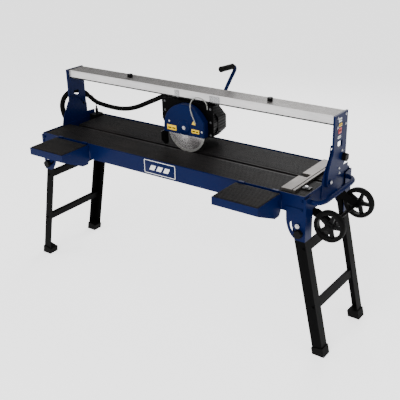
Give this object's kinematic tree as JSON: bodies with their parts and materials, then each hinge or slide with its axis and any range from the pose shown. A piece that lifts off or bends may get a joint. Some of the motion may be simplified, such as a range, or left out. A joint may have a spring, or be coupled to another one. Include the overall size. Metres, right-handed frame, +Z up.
{
  "type": "wet tile saw",
  "caption": "Bridge wet tile saw: water tub on folding legs, ribbed table, tilting guide rail, sliding motor head with guarded blade, wheels and side trays.",
  "frame": {"origin": "on the floor, under the middle of the machine's outline", "axes": "+X along the guide rail towards the wheels, +Y away from the operator, +Z up"},
  "size_m": [1.9358, 0.6616, 1.2083],
  "materials": {
    "blue_paint": "glossy deep blue powder coat",
    "black_paint": "satin black coating",
    "motor_black": "semi-gloss black enamel",
    "black_plastic": "moulded black plastic",
    "black_rubber": "matt black rubber",
    "aluminium": "extruded, lightly brushed",
    "bright_steel": "ground steel",
    "clear_hose": "clear flexible tube"
  },
  "bodies": {
    "base": {"water_tub": "blue_paint", "table_front": "black_paint", "table_rear": "black_paint", "pump": "black_plastic", "tilt_bracket_right": "blue_paint", "tilt_bracket_left": "blue_paint", "leg_bracket_front_right": "blue_paint", "leg_bracket_rear_right": "blue_paint", "leg_bracket_front_left": "blue_paint", "leg_bracket_rear_left": "blue_paint", "wheel_carrier": "black_paint", "carry_handle": "blue_paint", "fence": "aluminium", "fence_screw": "bright_steel", "switch_box": "black_plastic", "conduit_loop": "black_rubber", "pump_hose": "clear_hose"},
    "bridge": {"upright_left": "blue_paint", "upright_right": "blue_paint", "guide_rail": "aluminium", "conduit_span": "black_rubber"},
    "carriage": {"carriage_frame": "black_paint", "motor_housing": "motor_black", "motor_cover": "motor_black", "blade_guard": "blue_paint", "splash_flap": "black_rubber", "handle_rod": "blue_paint", "handle_grip": "black_rubber", "water_hose": "clear_hose"},
    "blade_shaft": {"arbor": "bright_steel", "saw_blade": "bright_steel"},
    "rollers_left": {"roller_set_left": "black_plastic"},
    "rollers_right": {"roller_set_right": "black_plastic"},
    "tilt_knob_left": {"tilt_knob_left": "black_plastic"},
    "tilt_knob_right": {"tilt_knob_right": "black_plastic"},
    "rail_knob_left": {"rail_knob_left": "black_plastic"},
    "rail_knob_right": {"rail_knob_right": "black_plastic"},
    "leg_frame_left": {"leg_front_left": "black_paint", "leg_rear_left": "black_paint", "brace_upper_left": "black_paint", "brace_lower_left": "black_paint", "foot_front_left": "black_rubber", "foot_rear_left": "black_rubber"},
    "leg_frame_right": {"leg_front_right": "black_paint", "leg_rear_right": "black_paint", "brace_upper_right": "black_paint", "brace_lower_right": "black_paint", "foot_front_right": "black_rubber", "foot_rear_right": "black_rubber"},
    "wheel_front": {"wheel_front": "black_plastic"},
    "wheel_rear": {"wheel_rear": "black_plastic"},
    "tray_left": {"tray_left": "blue_paint", "tray_pad_left": "black_paint"},
    "tray_right": {"tray_right": "blue_paint", "tray_pad_right": "black_paint"},
    "switch_rocker": {"switch_rocker": "black_rubber"},
    "leg_knob_front_left": {"leg_knob_front_left": "black_plastic"},
    "leg_knob_front_right": {"leg_knob_front_right": "black_plastic"},
    "leg_knob_rear_left": {"leg_knob_rear_left": "black_plastic"},
    "leg_knob_rear_right": {"leg_knob_rear_right": "black_plastic"}
  },
  "joints": [
    {"name": "bridge_tilt", "type": "hinge", "parent": "base", "child": "bridge", "pos_m": [-0.01814, 0.07368, 0.789], "axis": [1, 0, 0], "range_deg": [0, 45], "deforming": ["conduit_loop", "pump_hose"]},
    {"name": "carriage_slide", "type": "slide", "parent": "bridge", "child": "carriage", "axis": [1, 0, 0], "range_m": [-0.65, 0.62], "deforming": ["conduit_span"]},
    {"name": "blade_spin", "type": "hinge", "parent": "carriage", "child": "blade_shaft", "pos_m": [0.01086, 0.07368, 0.892], "axis": [0, 1, 0], "continuous": true},
    {"name": "leg_fold_left", "type": "hinge", "parent": "base", "child": "leg_frame_left", "pos_m": [-0.81114, 0.08668, 0.645], "axis": [0, -1, 0], "range_deg": [0, 100]},
    {"name": "leg_fold_right", "type": "hinge", "parent": "base", "child": "leg_frame_right", "pos_m": [0.77486, 0.08668, 0.645], "axis": [0, 1, 0], "range_deg": [0, 100]},
    {"name": "tray_slide_left", "type": "slide", "parent": "base", "child": "tray_left", "axis": [1, 0, 0], "range_m": [-0.08, 0.44]},
    {"name": "tray_slide_right", "type": "slide", "parent": "base", "child": "tray_right", "axis": [1, 0, 0], "range_m": [-0.44, 0.08]},
    {"name": "switch_rock", "type": "hinge", "parent": "base", "child": "switch_rocker", "pos_m": [-0.89074, 0.08668, 0.702], "axis": [0, 1, 0], "range_deg": [-16, 0]},
    {"name": "wheel_spin_front", "type": "hinge", "parent": "base", "child": "wheel_front", "pos_m": [0.89286, -0.06332, 0.645], "axis": [0, 1, 0], "continuous": true},
    {"name": "wheel_spin_rear", "type": "hinge", "parent": "base", "child": "wheel_rear", "pos_m": [0.89286, 0.23668, 0.645], "axis": [0, 1, 0], "continuous": true},
    {"name": "roller_spin_left", "type": "hinge", "parent": "carriage", "child": "rollers_left", "pos_m": [-0.08214, 0.16168, 1.0593], "axis": [0, 1, 0], "continuous": true},
    {"name": "tilt_knob_turn_left", "type": "hinge", "parent": "bridge", "child": "tilt_knob_left", "pos_m": [-0.86314, 0.19804, 0.87288], "axis": [-1, 0, 0], "continuous": true},
    {"name": "rail_knob_turn_left", "type": "hinge", "parent": "bridge", "child": "rail_knob_left", "pos_m": [-0.42814, 0.16168, 1.093], "axis": [0, 0, 1], "continuous": true},
    {"name": "leg_knob_turn_front_left", "type": "hinge", "parent": "leg_frame_left", "child": "leg_knob_front_left", "pos_m": [-0.81851, -0.14632, 0.60976], "axis": [0, -1, 0], "continuous": true},
    {"name": "leg_knob_turn_rear_left", "type": "hinge", "parent": "leg_frame_left", "child": "leg_knob_rear_left", "pos_m": [-0.81851, 0.31968, 0.60976], "axis": [0, 1, 0], "continuous": true},
    {"name": "roller_spin_right", "type": "hinge", "parent": "carriage", "child": "rollers_right", "pos_m": [0.10386, 0.16168, 1.0593], "axis": [0, 1, 0], "continuous": true},
    {"name": "tilt_knob_turn_right", "type": "hinge", "parent": "bridge", "child": "tilt_knob_right", "pos_m": [0.82686, 0.19804, 0.87288], "axis": [1, 0, 0], "continuous": true},
    {"name": "rail_knob_turn_right", "type": "hinge", "parent": "bridge", "child": "rail_knob_right", "pos_m": [0.44586, 0.16168, 1.093], "axis": [0, 0, 1], "continuous": true},
    {"name": "leg_knob_turn_front_right", "type": "hinge", "parent": "leg_frame_right", "child": "leg_knob_front_right", "pos_m": [0.78222, -0.14632, 0.60976], "axis": [0, -1, 0], "continuous": true},
    {"name": "leg_knob_turn_rear_right", "type": "hinge", "parent": "leg_frame_right", "child": "leg_knob_rear_right", "pos_m": [0.78222, 0.31968, 0.60976], "axis": [0, 1, 0], "continuous": true}
  ],
  "couplings": [
    {"joint": "roller_spin_left", "follows": "carriage_slide", "rad_per_m": 76.923},
    {"joint": "roller_spin_right", "follows": "carriage_slide", "rad_per_m": 76.923}
  ]
}
